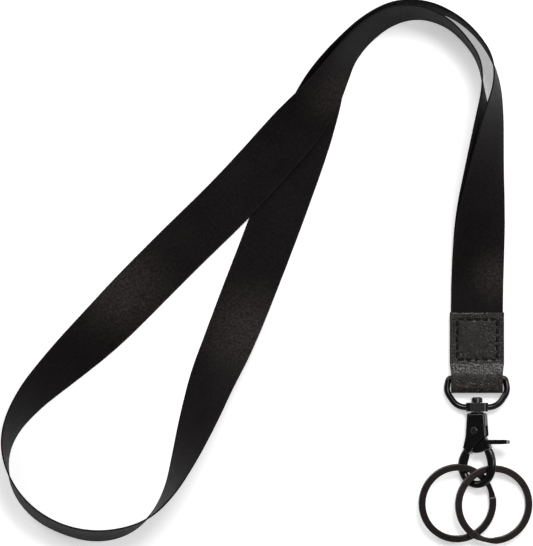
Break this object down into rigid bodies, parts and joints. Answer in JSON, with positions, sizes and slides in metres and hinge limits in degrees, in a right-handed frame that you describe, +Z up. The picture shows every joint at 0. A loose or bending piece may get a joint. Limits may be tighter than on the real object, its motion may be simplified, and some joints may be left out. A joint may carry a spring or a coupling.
{
  "type": "neck lanyard",
  "caption": "Flat woven neck strap looped into a stitched leather tab, with a D-ring, a swivelling trigger snap hook and split key rings for a badge or keys.",
  "frame": {"origin": "centre of the stitched box, on the back face of the leather tab, which lies on the table", "axes": "+Z up out of the tab's front face; +Y along the tab, from the hook towards the neck loop; +X to the right seen from the front"},
  "size_m": [0.2017, 0.2066, 0.0201],
  "materials": {
    "ribbon": "black satin-woven polyester ribbon",
    "leather": "dark grey-brown grained leather",
    "thread": "black waxed thread",
    "gunmetal": "polished black-nickel plated die-cast zinc",
    "pin_steel": "black-nickel plated steel",
    "spring_steel": "plain spring steel wire",
    "ring_steel": "black-nickel plated flat spring wire"
  },
  "bodies": {
    "strap": {"neck_strap": "ribbon", "leather_tab": "leather", "front_stitching": "thread", "back_stitching": "thread"},
    "d_ring": {"d_ring": "gunmetal"},
    "snap_hook": {"hook_body": "gunmetal", "swivel_pin": "pin_steel", "gate_pivot_pin": "pin_steel", "gate_spring": "spring_steel"},
    "gate": {"gate_lever": "gunmetal"},
    "left_key_ring": {"key_ring_left": "ring_steel"},
    "right_key_ring": {"key_ring_right": "ring_steel"}
  },
  "joints": [
    {"name": "d_ring_hinge", "type": "hinge", "parent": "strap", "child": "d_ring", "pos_m": [0, -0.0149, 0.0024], "axis": [1, 0, 0], "range_deg": [-90, 90]},
    {"name": "hook_swivel", "type": "hinge", "parent": "d_ring", "child": "snap_hook", "pos_m": [0, -0.0149, 0.0024], "axis": [0, 0.9982, -0.0593], "continuous": true},
    {"name": "gate_hinge", "type": "hinge", "parent": "snap_hook", "child": "gate", "pos_m": [-0.00036, -0.03478, 0.00341], "axis": [-0.4226, 0.0537, 0.9047], "range_deg": [0, 28], "stiffness_Nm_per_rad": 0.02, "springref_deg": -20.05},
    {"name": "left_ring_spin", "type": "hinge", "parent": "snap_hook", "child": "left_key_ring", "pos_m": [-0.0075, -0.0623, 0.004], "axis": [0.1481, -0.0592, 0.9872], "continuous": true},
    {"name": "right_ring_spin", "type": "hinge", "parent": "snap_hook", "child": "right_key_ring", "pos_m": [0.0063, -0.0629, 0.00395], "axis": [0.1771, -0.0295, 0.9838], "continuous": true}
  ]
}
